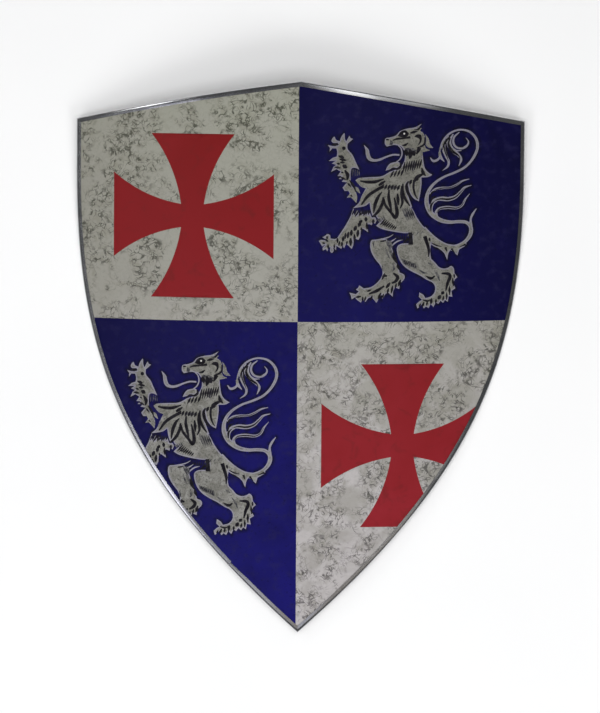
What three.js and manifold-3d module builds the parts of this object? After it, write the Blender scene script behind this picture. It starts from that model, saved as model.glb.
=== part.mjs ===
// Heater shield: a sheet-steel plate with a bright steel strip folded over its edge.
//
// The plate is cut flat to the heater outline and rolled to an even bow about its long axis.
// The rim is one U-shaped strip, mitred at the peak, both upper corners and the tip. Its two
// ends meet on the lower left side.
//
// Both pieces are drawn as the flat sheet is, with s across and y along it and h outwards from
// the middle of the sheet, and are then bent. In the bent shield x is to the right, y towards
// the peak and z out of the face, from the crown of the bow at half height.
//
// A loose shield lies on its back, face up, so the whole is tilted until it balances on the
// left and right edges. The rim is flat where it rests. The floor is at z = 0.

import * as THREE from 'three';
import { mergeVertices } from 'three/addons/utils/BufferGeometryUtils.js';
import Module from 'manifold-3d';

// Driving dimensions, in millimetres and degrees

// The outline over the rim, seen from the front
const overallWidth = 480;
const overallHeight = 590;
const cornerDrop = 42.7; // from the peak down to the level of the upper corners
const topBow = 1.7; // rise of each top edge over a straight line, at its middle
const straightSide = 54.5; // from each corner down to where the side begins to sweep in
const sweepStartHandle = 199; // how long the sweep holds on downwards
const sweepTipHandle = 257; // how long it runs straight for the tip
const tipHalfAngle = 48.4; // between the edge at the tip and the long axis

// The sheet
const bendRadius = 600; // to the middle of the sheet
const sheetThickness = 1.2;

// The strip
const rimWidth = 5.5; // how far its lips reach in over the sheet
const rimWall = 0.8;
const foldClearance = 0.3; // between the sheet and the strip, on every side
const lipChamfer = 0.2;
const seamFromTip = 104; // along the left edge
const seamGap = 0.4;
const seamTrim = 1.1; // the front lip is cut back by this at the lower of the two ends
const seamTrimLength = 26; // over which the lip grows to its full width again

// How it lies
const restFlatDepth = 0.3; // what the floor side of the rim loses where it rests

// How finely the curves are followed
const edgeStep = 12;
const noseSteps = 3; // a quarter of the strip's round nose

// What follows from them

const halfSlot = sheetThickness / 2 + foldClearance;
const noseRadius = halfSlot + rimWall;
const halfWidth = overallWidth / 2;
const halfHeight = overallHeight / 2;

// The right half of the outline, from the peak round to the tip, as its three curves

function rightHalfCurves() {
  const peak = new THREE.Vector2(0, halfHeight);
  const corner = new THREE.Vector2(halfWidth, halfHeight - cornerDrop);
  const sideEnd = new THREE.Vector2(halfWidth, corner.y - straightSide);
  const tip = new THREE.Vector2(0, -halfHeight);
  const bowHandle = peak.clone().add(corner).multiplyScalar(0.5);
  bowHandle.y += 2 * topBow;
  const startHandle = new THREE.Vector2(halfWidth, sideEnd.y - sweepStartHandle);
  const tipAngle = THREE.MathUtils.degToRad(tipHalfAngle);
  const tipHandle = new THREE.Vector2(Math.sin(tipAngle), Math.cos(tipAngle))
    .multiplyScalar(sweepTipHandle)
    .add(tip);
  return {
    top: new THREE.QuadraticBezierCurve(peak, bowHandle, corner),
    side: new THREE.LineCurve(corner, sideEnd),
    sweep: new THREE.CubicBezierCurve(sideEnd, startHandle, tipHandle, tip),
  };
}

const curves = rightHalfCurves();
const mirrored = (point) => new THREE.Vector2(-point.x, point.y);

// Evenly spaced points of one curve, between two shares of its length

function spaced(curve, from, to) {
  const count = Math.ceil((curve.getLength() * Math.abs(to - from)) / edgeStep);
  return Array.from({ length: count + 1 }, (_, i) => curve.getPointAt(from + ((to - from) * i) / count));
}

// Where a point of the front view lies on the flat sheet, and back from there to the bent one

function flattened(point) {
  return new THREE.Vector2(bendRadius * Math.asin(point.x / bendRadius), point.y);
}

function bent(s, y, h) {
  const angle = s / bendRadius;
  const reach = bendRadius + h;
  return new THREE.Vector3(reach * Math.sin(angle), y, reach * Math.cos(angle) - bendRadius);
}

// A run of points without its repeats, where one curve ends and the next begins

function joined(...runs) {
  const repeatDistance = 0.001;
  return runs.flat().filter((point, i, all) => i === 0 || point.distanceTo(all[i - 1]) > repeatDistance);
}

// At each point of a run, which goes round anticlockwise, the step towards the sheet's middle
// that moves the edge in by one millimetre. At a corner it lies along the mitre.

function inwardSteps(points, closed) {
  const count = points.length;
  const legNormal = (i) => {
    const leg = points[(i + 1) % count].clone().sub(points[i]).normalize();
    return new THREE.Vector2(-leg.y, leg.x);
  };
  return points.map((_, i) => {
    const before = legNormal(closed ? (i + count - 1) % count : Math.max(i - 1, 0));
    const after = legNormal(closed ? i : Math.min(i, count - 2));
    return before.clone().add(after).divideScalar(1 + before.dot(after));
  });
}

// The y of a run of points at one x, along which x rises

function heightOver(points, x) {
  let next = 1;
  while (next < points.length - 1 && points[next].x < x) next += 1;
  const [a, b] = [points[next - 1], points[next]];
  return THREE.MathUtils.mapLinear(x, a.x, b.x, a.y, b.y);
}

// A closed mesh whose faces share their corners

function sharedCorners(geometry) {
  geometry.deleteAttribute('normal');
  geometry.deleteAttribute('uv');
  const merged = mergeVertices(geometry);
  merged.computeVertexNormals();
  return merged;
}

// The plate: a flat grid whose columns run from the lower edge to the top edge

function makePlate() {
  const topPoints = spaced(curves.top, 1, 0);
  const lowerPoints = spaced(curves.sweep, 1, 0);
  const rightSide = joined(lowerPoints, topPoints).map(flattened);
  const leftSide = rightSide.slice(1, -1).reverse().map(mirrored);
  const loop = [...rightSide, ...leftSide];
  const steps = inwardSteps(loop, true);
  const insetEdge = loop.map((point, i) => point.clone().addScaledVector(steps[i], noseRadius));
  const lowerEdge = insetEdge.slice(0, lowerPoints.length);
  const topEdge = insetEdge.slice(lowerPoints.length, rightSide.length).reverse();
  const half = lowerEdge.length - 1;
  const geometry = new THREE.BoxGeometry(2 * half, 1, sheetThickness, 2 * half, 1, 1);
  const place = geometry.attributes.position;
  for (let i = 0; i < place.count; i += 1) {
    const column = Math.round(place.getX(i));
    const { x: across, y: low } = lowerEdge[Math.abs(column)];
    const y = place.getY(i) > 0 ? heightOver(topEdge, across) : low;
    const corner = bent(Math.sign(column) * across, y, place.getZ(i));
    place.setXYZ(i, corner.x, corner.y, corner.z);
  }
  return sharedCorners(geometry);
}

// The strip's section: n is how far in from the outer edge, h how far above the sheet's middle

function stripSection() {
  const section = new THREE.Shape();
  section.moveTo(rimWidth, halfSlot);
  section.lineTo(rimWidth, noseRadius - lipChamfer);
  section.lineTo(rimWidth - lipChamfer, noseRadius);
  section.absarc(noseRadius, 0, noseRadius, Math.PI / 2, 1.5 * Math.PI, false);
  section.lineTo(rimWidth - lipChamfer, -noseRadius);
  section.lineTo(rimWidth, lipChamfer - noseRadius);
  section.lineTo(rimWidth, -halfSlot);
  section.absarc(noseRadius, 0, halfSlot, 1.5 * Math.PI, Math.PI / 2, true);
  section.closePath();
  return section;
}

// The rim: a straight bar of that section, with one station for each point of the edge,
// led round the sheet from the seam over the tip, the right side, the peak and the left side

function makeRim() {
  const { top, side, sweep } = curves;
  const seam = 1 - seamFromTip / sweep.getLength();
  const halfGap = seamGap / 2 / sweep.getLength();
  const edge = joined(
    spaced(sweep, seam + halfGap, 1).map(mirrored),
    spaced(sweep, 1, 0),
    spaced(side, 1, 0),
    spaced(top, 1, 0),
    spaced(top, 0, 1).map(mirrored),
    spaced(side, 0, 1).map(mirrored),
    spaced(sweep, 0, seam - halfGap).map(mirrored),
  ).map(flattened);
  const steps = inwardSteps(edge, false);
  const last = edge.length - 1;
  const geometry = new THREE.ExtrudeGeometry(stripSection(), {
    depth: last,
    steps: last,
    bevelEnabled: false,
    curveSegments: noseSteps,
  });
  const place = geometry.attributes.position;
  for (let i = 0; i < place.count; i += 1) {
    const station = Math.round(place.getZ(i));
    const height = place.getY(i);
    const fromSeam = station < last / 2 ? edge[station].distanceTo(edge[0]) : seamTrimLength;
    const trim = height > 0 ? seamTrim * Math.max(0, 1 - fromSeam / seamTrimLength) : 0;
    const lipShare = (rimWidth - trim - noseRadius) / (rimWidth - noseRadius);
    const reach = place.getX(i);
    const n = reach > noseRadius ? noseRadius + (reach - noseRadius) * lipShare : reach;
    const at = edge[station].clone().addScaledVector(steps[station], n);
    const corner = bent(at.x, at.y, height);
    place.setXYZ(i, corner.x, corner.y, corner.z);
  }
  return sharedCorners(geometry);
}

// The centre of gravity of closed meshes of one material

function centreOfGravity(geometries) {
  const centre = new THREE.Vector3();
  let volume = 0;
  for (const geometry of geometries) {
    const { array } = geometry.index;
    for (let i = 0; i < array.length; i += 3) {
      const [a, b, c] = [0, 1, 2].map((j) =>
        new THREE.Vector3().fromBufferAttribute(geometry.attributes.position, array[i + j]));
      const share = a.dot(b.clone().cross(c)) / 6;
      volume += share;
      centre.addScaledVector(a.add(b).add(c), share / 4);
    }
  }
  return centre.divideScalar(volume);
}

// The tilt that levels the side edges under the centre of gravity

function restTilt(centre) {
  const sidePoints = joined(spaced(curves.sweep, 1, 0), spaced(curves.side, 1, 0));
  const widthOverY = sidePoints.map(({ x, y }) => new THREE.Vector2(y, x));
  const edgeHeight = (y) => {
    const edge = flattened(new THREE.Vector2(heightOver(widthOverY, y), y));
    return bent(edge.x, edge.y, -noseRadius).z;
  };
  const span = 3 * edgeStep;
  const rounds = 8;
  let tilt = 0;
  for (let round = 0; round < rounds; round += 1) {
    const foot = centre.y - (centre.z - edgeHeight(centre.y)) * Math.tan(tilt);
    tilt = Math.atan2(edgeHeight(foot - span) - edgeHeight(foot + span), 2 * span);
  }
  return tilt;
}

// Cuts away everything of a piece that another piece covers

const manifold = await Module();
manifold.setup();

function solidOf(geometry) {
  const vertProperties = new Float32Array(geometry.attributes.position.array);
  const triVerts = new Uint32Array(geometry.index.array);
  return new manifold.Manifold(new manifold.Mesh({ numProp: 3, vertProperties, triVerts }));
}

function cutAway(geometry, cutter) {
  const { vertProperties, triVerts } = solidOf(geometry).subtract(solidOf(cutter)).getMesh();
  const left = new THREE.BufferGeometry();
  left.setAttribute('position', new THREE.BufferAttribute(vertProperties, 3));
  left.setIndex(new THREE.BufferAttribute(triVerts, 1));
  left.computeVertexNormals();
  return left;
}

// The shield as it lies: tilted to balance, its box centred, and sunk by the depth of the flats

const plateShape = makePlate();
const rimShape = makeRim();

const shield = new THREE.Group();
shield.rotation.x = restTilt(centreOfGravity([plateShape, rimShape]));
shield.updateMatrixWorld();
const lyingBox = new THREE.Box3().setFromBufferAttribute(
  rimShape.clone().applyMatrix4(shield.matrixWorld).attributes.position);
const middle = lyingBox.getCenter(new THREE.Vector3());
shield.position.set(-middle.x, -middle.y, -lyingBox.min.z - restFlatDepth);
shield.updateMatrixWorld();

// The floor, as the shield sees it, takes off what would stand under it

const floorSize = 2 * Math.max(overallWidth, overallHeight);
const floor = new THREE.BoxGeometry(floorSize, floorSize, floorSize);
floor.translate(0, 0, -floorSize / 2);
floor.applyMatrix4(shield.matrixWorld.clone().invert());

const paintedSteel = new THREE.MeshStandardMaterial({ color: 0x9d9b95, roughness: 0.45, metalness: 0.1 });
const brightSteel = new THREE.MeshStandardMaterial({ color: 0xb9b9bb, roughness: 0.3, metalness: 0.95 });

const plate = new THREE.Mesh(plateShape, paintedSteel);
plate.name = 'plate';
const rim = new THREE.Mesh(cutAway(rimShape, sharedCorners(floor)), brightSteel);
rim.name = 'rim';
shield.add(plate, rim);

export default shield;
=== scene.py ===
import math

import bmesh
import bpy
import numpy as np
from mathutils import Matrix, Vector
from mathutils.geometry import delaunay_2d_cdt


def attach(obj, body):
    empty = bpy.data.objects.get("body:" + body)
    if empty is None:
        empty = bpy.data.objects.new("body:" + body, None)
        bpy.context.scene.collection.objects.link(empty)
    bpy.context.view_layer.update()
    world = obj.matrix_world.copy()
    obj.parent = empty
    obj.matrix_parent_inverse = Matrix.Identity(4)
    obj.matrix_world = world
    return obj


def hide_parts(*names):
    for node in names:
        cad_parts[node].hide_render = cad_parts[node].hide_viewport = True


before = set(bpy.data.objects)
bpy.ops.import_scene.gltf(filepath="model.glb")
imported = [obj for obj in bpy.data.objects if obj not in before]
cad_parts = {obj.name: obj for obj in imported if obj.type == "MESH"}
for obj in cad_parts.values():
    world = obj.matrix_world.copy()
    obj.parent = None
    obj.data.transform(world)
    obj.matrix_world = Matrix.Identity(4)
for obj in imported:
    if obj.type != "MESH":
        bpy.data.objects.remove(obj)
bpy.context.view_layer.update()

# The shield as it lies
# A heater shield of bowed sheet steel with a folded edge strip, loose on the floor, face up, on
# its two side edges. Both pieces are drawn flat, in millimetres: s across the sheet, y up it, h
# out from its middle. Then they are rolled, and laid between the peak and tip of the CAD's rim.

MM = 0.001
BEND_RADIUS = 600
OVERALL_WIDTH = 480
OVERALL_HEIGHT = 590

rim_points = [vertex.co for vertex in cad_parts["rim"].data.vertices]
peak = max(rim_points, key=lambda point: point.y)
tip = min(rim_points, key=lambda point: point.y)
lengthwise = (peak - tip).normalized()
outwards = Vector((1, 0, 0)).cross(lengthwise)
turned = Matrix((Vector((1, 0, 0)), lengthwise, outwards)).transposed()
lying = Matrix.Translation((peak + tip) / 2) @ turned.to_4x4()


def place(s, y, h):
    """Where a point of the flat sheet ends up, in metres."""
    angle = s / BEND_RADIUS
    reach = BEND_RADIUS + h
    bowed = Vector((reach * math.sin(angle), y, reach * math.cos(angle) - BEND_RADIUS))
    return lying @ (bowed * MM)


# The sheet: its outline
# One sheet of steel, sheared to the heater outline before it is rolled. The right half is a
# shallow curve from the peak to the corner, a short straight side and a long sweep to the tip.
# The left half mirrors it, with a fuller top.

CORNER_DROP = 42.7
LEFT_TOP_BOW = 3.2
RIGHT_TOP_BOW = 0.9
STRAIGHT_SIDE = 54.5
SWEEP_START_HANDLE = 199
SWEEP_TIP_HANDLE = 257
SWEEP_LENGTH = 560  # roughly, for the number of its points
TIP_HALF_ANGLE = math.radians(48.4)
EDGE_STEP = 4  # between two points of an edge


def pulled(handles, length):
    """Points along a smooth curve from the first handle to the last, pulled by those between.

    With one between, the curve bows half as far as that handle stands off.
    """
    t = np.linspace(0, 1, 1 + math.ceil(length / EDGE_STEP))[:, None]
    rows = [np.array(handle, float) + 0 * t for handle in handles]
    while len(rows) > 1:
        rows = [a * (1 - t) + b * t for a, b in zip(rows, rows[1:])]
    return rows[0]


def flattened(points):
    """Points of the front view, as they lie on the flat sheet."""
    return np.column_stack([BEND_RADIUS * np.arcsin(points[:, 0] / BEND_RADIUS), points[:, 1]])


half_width = OVERALL_WIDTH / 2
half_height = OVERALL_HEIGHT / 2
corner = (half_width, half_height - CORNER_DROP)
side_end = (half_width, corner[1] - STRAIGHT_SIDE)
side_handle = (half_width, side_end[1] - SWEEP_START_HANDLE)
tip_handle = (SWEEP_TIP_HANDLE * math.sin(TIP_HALF_ANGLE),
              SWEEP_TIP_HANDLE * math.cos(TIP_HALF_ANGLE) - half_height)
side_run = pulled([corner, side_end], STRAIGHT_SIDE)
sweep_run = pulled([side_end, side_handle, tip_handle, (0, -half_height)], SWEEP_LENGTH)
halves = []
for bow in (RIGHT_TOP_BOW, LEFT_TOP_BOW):
    top_handle = (half_width / 2, half_height - CORNER_DROP / 2 + 2 * bow)
    top_run = pulled([(0, half_height), top_handle, corner], half_width)
    halves.append(flattened(np.vstack([sweep_run[::-1], side_run[-2::-1], top_run[-2::-1]])))
edge_loop = np.vstack([halves[0], halves[1][-2:0:-1] * (-1, 1)])  # anticlockwise from the tip


def inward_steps(points, closed=True):
    """At each point of an anticlockwise edge, the step that moves the edge in by one millimetre."""
    legs = np.roll(points, -1, axis=0) - points
    legs /= np.linalg.norm(legs, axis=1, keepdims=True)
    after = np.column_stack([-legs[:, 1], legs[:, 0]])
    before = np.roll(after, 1, axis=0)
    if not closed:
        before[0], after[-1] = after[0], before[-1]
    return (before + after) / (1 + (before * after).sum(axis=1))[:, None]


# The sheet: its white and blue grounds
# The face is printed on white-enamelled steel and varnished. The quarters are mottled off-white,
# with fine dark veins, and deep blue, which is darker round the lions. Painted light and shade
# darken both grounds towards the top and the sides, and the crosses and lions towards the top.

VARNISH = dict(Roughness=0.42, Specular_IOR_Level=0.16)
ORANGE_PEEL_SIZE = 1.6
ORANGE_PEEL_DEPTH = 0.004
PAINT_HALF_LENGTH = 0.27  # metres, from the middle to where the tones upwards stop changing, most of them painted light and shade
SIDE_SHADE_FROM = 0.06  # metres, from the middle line to where the painted shade at the sides begins
SIDE_SHADE_TO = 0.23
VEIN_STRENGTH = 0.8
HAIRLINE_CORE = 0.35  # of a hairline's width, which is drawn at full strength
MIX_SOCKETS = (0, 6, 7)  # of a Mix node's share and its two colours


class Finish:
    """A material in the making. Its methods add nodes and give back the socket with the result.

    Sizes and depths of patterns are in millimetres.
    """

    def __init__(self, name, **even):
        self.material = bpy.data.materials.new(name)
        self.material.use_nodes = True
        self.tree = self.material.node_tree
        self.shader = self.tree.nodes["Principled BSDF"]
        self.spot = self.tree.nodes.new("ShaderNodeTexCoord").outputs["Object"]
        self.plug(self.shader, **even)

    def feed(self, socket, value):
        """Links a result to a socket, or sets the socket to an even value."""
        if isinstance(value, bpy.types.NodeSocket):
            self.tree.links.new(value, socket)
        else:
            socket.default_value = value

    def plug(self, node, **sockets):
        """Feeds the sockets of a node, which are named with _ for a space."""
        for name, value in sockets.items():
            self.feed(node.inputs[name.replace("_", " ")], value)

    def noise(self, size, detail=2, distortion=0, stretch=(1, 1, 1), shift=0):
        """Cloudy noise, about 0.3 to 0.7; a shift gives another part of it."""
        mapping = self.tree.nodes.new("ShaderNodeMapping")
        self.plug(mapping, Vector=self.spot, Scale=stretch, Location=(shift, shift / 2, shift / 3))
        node = self.tree.nodes.new("ShaderNodeTexNoise")
        self.plug(node, Vector=mapping.outputs[0], Scale=1 / (size * MM), Detail=detail,
                  Distortion=distortion)
        return node.outputs["Fac"]

    def spread(self, value, low, high, to_low=0.0, to_high=1.0):
        """The value with low to high spread over another range, and held at its ends."""
        node = self.tree.nodes.new("ShaderNodeMapRange")
        self.plug(node, Value=value, From_Min=low, From_Max=high, To_Min=to_low, To_Max=to_high)
        return node.outputs[0]

    def combine(self, operation, a, b=0.0):
        """Two values taken together by a Math node, or one by itself."""
        node = self.tree.nodes.new("ShaderNodeMath")
        node.operation = operation
        self.feed(node.inputs[0], a)
        self.feed(node.inputs[1], b)
        return node.outputs[0]

    def read(self, attribute):
        """What the mesh stores at each of its points."""
        node = self.tree.nodes.new("ShaderNodeAttribute")
        node.attribute_name = attribute
        return node.outputs["Fac"]

    def along(self, axis):
        """How far a spot is along an axis, in metres."""
        node = self.tree.nodes.new("ShaderNodeSeparateXYZ")
        self.plug(node, Vector=self.spot)
        return node.outputs[axis]

    def upwards(self):
        """0 at the tip of the shield, 1 at its top."""
        return self.spread(self.along("Y"), -PAINT_HALF_LENGTH, PAINT_HALF_LENGTH)

    def side_shading(self):
        """0 about the middle of the shield, 1 at its two sides; the share of painted shade at the sides."""
        return self.spread(self.combine("ABSOLUTE", self.along("X")), SIDE_SHADE_FROM, SIDE_SHADE_TO)

    def hairline(self, value, level, width):
        """1 on the lines where the value is at the level, 0 away from them."""
        off = self.combine("ABSOLUTE", self.combine("SUBTRACT", value, level))
        return self.spread(off, width * HAIRLINE_CORE, width, 1, 0)

    def mix(self, share, first, second):
        """The first colour, with this share of it the second."""
        node = self.tree.nodes.new("ShaderNodeMix")
        node.data_type = "RGBA"
        for index, value in zip(MIX_SOCKETS, (share, first, second)):
            self.feed(node.inputs[index], value)
        return node.outputs[2]

    def bump(self, height, depth):
        """Relief in the surface's shading."""
        node = self.tree.nodes.new("ShaderNodeBump")
        self.plug(node, Height=height, Distance=depth * MM, Strength=1)
        self.plug(self.shader, Normal=node.outputs[0])

    def done(self, **sockets):
        """The material, with the last sockets of its shader fed."""
        self.plug(self.shader, **sockets)
        return self.material


def varnished(paint, colour):
    """A paint's material, under a varnish with a faint orange peel."""
    paint.bump(paint.noise(ORANGE_PEEL_SIZE, 2), ORANGE_PEEL_DEPTH)
    return paint.done(Base_Color=colour)


def tone(red, green, blue):
    """A colour as a screen shows it, 0 to 255, for a shader."""
    share = [value / 255 for value in (red, green, blue)]
    return (*(v / 12.92 if v < 0.04045 else ((v + 0.055) / 1.055) ** 2.4 for v in share), 1)


white = Finish("mottled_white", **VARNISH)
# Painted light and shade: the white is lighter towards the tip, darker towards the top.
ground = white.mix(white.upwards(), tone(170, 165, 165), tone(152, 153, 140))
ground = white.mix(white.spread(white.noise(60, 3), 0.35, 0.65, 0, 0.4), ground, tone(152, 150, 143))
# Painted shade: the white is darker towards the two sides.
ground = white.mix(white.combine("MULTIPLY", white.side_shading(), 0.55), ground, tone(143, 141, 132))
low_down = white.spread(white.upwards(), 0.3, 0.65, 0.5, 0)
pale_patches = white.spread(white.noise(28, 2, 0.6, shift=7.3), 0.42, 0.6)
ground = white.mix(white.combine("MULTIPLY", pale_patches, low_down), ground, tone(201, 196, 198))
coarse = white.hairline(white.noise(15, 1.4, 0.9), 0.5, 0.026)
fine = white.hairline(white.noise(9, 1.2, 0.8, shift=0.7), 0.54, 0.036)
loops = white.hairline(white.noise(11, 1, 1.4, shift=4.1), 0.45, 0.03)
patches = white.spread(white.noise(25, 2, 0.5, shift=1.3), 0.4, 0.56, 0.1, 1)
gaps = white.spread(white.noise(6, 1, shift=2.1), 0.34, 0.55, 0.1, 1)
worn = white.combine("MULTIPLY", patches, gaps)
# The veins carry painted shade too: darker towards the top.
vein_tone = white.mix(white.upwards(), tone(74, 70, 72), tone(46, 48, 36))
veins = white.combine("MAXIMUM", white.combine("MAXIMUM", coarse, fine), loops)
veins = white.combine("MULTIPLY", veins, VEIN_STRENGTH)
clots = white.spread(white.noise(6, 1.5, 1, shift=3.4), 0.64, 0.72, 0, 0.8)
clouds = white.spread(white.noise(9, 3, 1, shift=5.2), 0.42, 0.72, 0, 0.5)
ground = white.mix(white.combine("MULTIPLY", clouds, patches), ground, tone(116, 114, 100))
ground = white.mix(white.combine("MULTIPLY", clots, worn), ground, tone(54, 56, 44))
ground = white.mix(white.combine("MULTIPLY", veins, worn), ground, vein_tone)
white_ground = varnished(white, ground)

blue = Finish("deep_blue", **VARNISH)
# Painted light and shade: the blue is lighter towards the tip, darker towards the top.
ground = blue.mix(blue.upwards(), tone(24, 21, 102), tone(7, 6, 52))
# Painted shade: the blue is darker towards the two sides.
ground = blue.mix(blue.combine("MULTIPLY", blue.side_shading(), 0.75), ground, tone(8, 7, 40))
ground = blue.mix(blue.spread(blue.noise(45, 3, 0.6), 0.35, 0.7, 0, 0.5), ground, tone(13, 10, 62))
ground = blue.mix(blue.spread(blue.noise(9, 4, shift=1.1), 0.52, 0.72, 0, 0.4), ground, tone(36, 34, 72))
ground = blue.mix(blue.spread(blue.noise(3, 2, shift=2.3), 0.6, 0.75, 0, 0.5), ground, tone(8, 7, 36))
halo = blue.spread(blue.read("lion_edge"), -4.5, -0.2)
halo = blue.combine("MULTIPLY", halo, blue.spread(blue.noise(8, 3, 1, shift=3.6), 0.4, 0.55, 0.1, 0.95))
ground = blue.mix(halo, ground, tone(10, 9, 20))
blue_ground = varnished(blue, ground)

# The sheet: its crosses
# A red cross pattee on each white quarter, in opaque paint over the mottling: four arms that
# flare along arcs to straight ends. The lower one runs out under the right edge.

CROSS_CENTRES = ((-115.6, 150.6), (111.3, -93.9))
CROSS_REACH = 87.4
CROSS_FLARE = 45.3  # half the width of an arm's end
CROSS_NECK = 12.4  # half the width of an arm at the middle
CROSS_HOLLOW = 5.5  # how far an arm's side bows in

red = Finish("banner_red", **VARNISH)
# Painted light and shade: the red is lighter towards the tip, darker towards the top.
ground = red.mix(red.upwards(), tone(146, 39, 49), tone(116, 23, 23))
ground = red.mix(red.spread(red.noise(50, 3, 0.5), 0.4, 0.7, 0, 0.6), ground, tone(128, 28, 32))
ground = red.mix(red.spread(red.noise(16, 4, 1, shift=1.7), 0.55, 0.75, 0, 0.5), ground, tone(92, 32, 30))
cross_red = varnished(red, ground)


def cross(centre):
    """The outline of a cross pattee."""
    side_in = np.array((CROSS_NECK, CROSS_NECK))
    side_out = np.array((CROSS_FLARE, CROSS_REACH))
    middle = (side_in + side_out) / 2
    way = side_out - side_in
    across = np.array((way[1], -way[0]))
    handle = middle - across / np.linalg.norm(across) * CROSS_HOLLOW * 2
    rising = pulled([side_in, handle, side_out], CROSS_REACH)
    falling = rising[::-1] * (-1, 1)
    arm = np.vstack([rising, falling])
    turn = np.array(((0, -1), (1, 0)))
    loop = []
    for quarter in range(4):
        spun = arm @ np.linalg.matrix_power(turn, quarter).T
        loop.append(spun[:-1])
    return np.vstack(loop) + centre


# The sheet: its lions
# A lion rampant on each blue quarter, facing left, in silver paint brushed over with black
# strokes. The lower one runs out under the left edge. It is drawn in hundredths of its height,
# from its lower left corner.

CURVE_STEP = 0.5
INK_WEIGHT = 1.4  # how much wider the black strokes are than drawn
TAPER = (0.3, 1, 0.2)  # of a short stroke, from its start to its end
SPOT_SIDES = 12


def curve_through(points):
    """A smooth run through the points."""
    p = np.array(points, float)
    padded = np.vstack([2 * p[0] - p[1], p, 2 * p[-1] - p[-2]])
    run = []
    for a, b, c, d in zip(padded, padded[1:], padded[2:], padded[3:]):
        count = max(1, round(float(np.linalg.norm(c - b)) / CURVE_STEP))
        for t in np.arange(count) / count:
            run.append(b + 0.5 * t * (c - a + t * (2 * a - 5 * b + 4 * c - d + t * (3 * (b - c) + d - a))))
    return np.vstack([run, p[-1:]])


def outline(*runs):
    """A closed area. Each run is smooth, from the end of the one before, and ends at a point."""
    starts = [runs[-1][-1], *(run[-1] for run in runs[:-1])]
    return np.vstack([curve_through([start, *run])[:-1] for start, run in zip(starts, runs)])


def straight(*tips):
    """Straight edges from tip to notch to tip, as runs of an outline."""
    return [[tip] for tip in tips]


def stroke(line, *widths):
    """A brush stroke along a smooth line; its widths are spread evenly along it."""
    run = curve_through(line)
    legs = np.linalg.norm(np.diff(run, axis=0), axis=1)
    along = np.append(0, np.cumsum(legs)) / legs.sum()
    half = np.interp(along, np.linspace(0, 1, len(widths)), widths) / 2
    way = np.gradient(run, axis=0)
    way /= np.linalg.norm(way, axis=1, keepdims=True)
    side = np.column_stack([-way[:, 1], way[:, 0]]) * half[:, None]
    return np.vstack([run + side, (run - side)[::-1]])


def inked(line, *widths):
    """A stroke of the loaded brush."""
    return stroke(line, *(INK_WEIGHT * width for width in widths))


def row_of_strokes(first, last, count, width):
    """Short strokes side by side; first and last are the two ends of the outer ones."""
    ends = [np.array(first, float), np.array(last, float)]
    shares = np.linspace(0, 1, count)
    widths = [share * width for share in TAPER]
    return [stroke(ends[0] * (1 - t) + ends[1] * t, *widths) for t in shares]


def spot(x, y, radius):
    """A small disc."""
    turn = np.linspace(0, 2 * np.pi, SPOT_SIDES, endpoint=False)
    return np.column_stack([x + radius * np.cos(turn), y + radius * np.sin(turn)])


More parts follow.
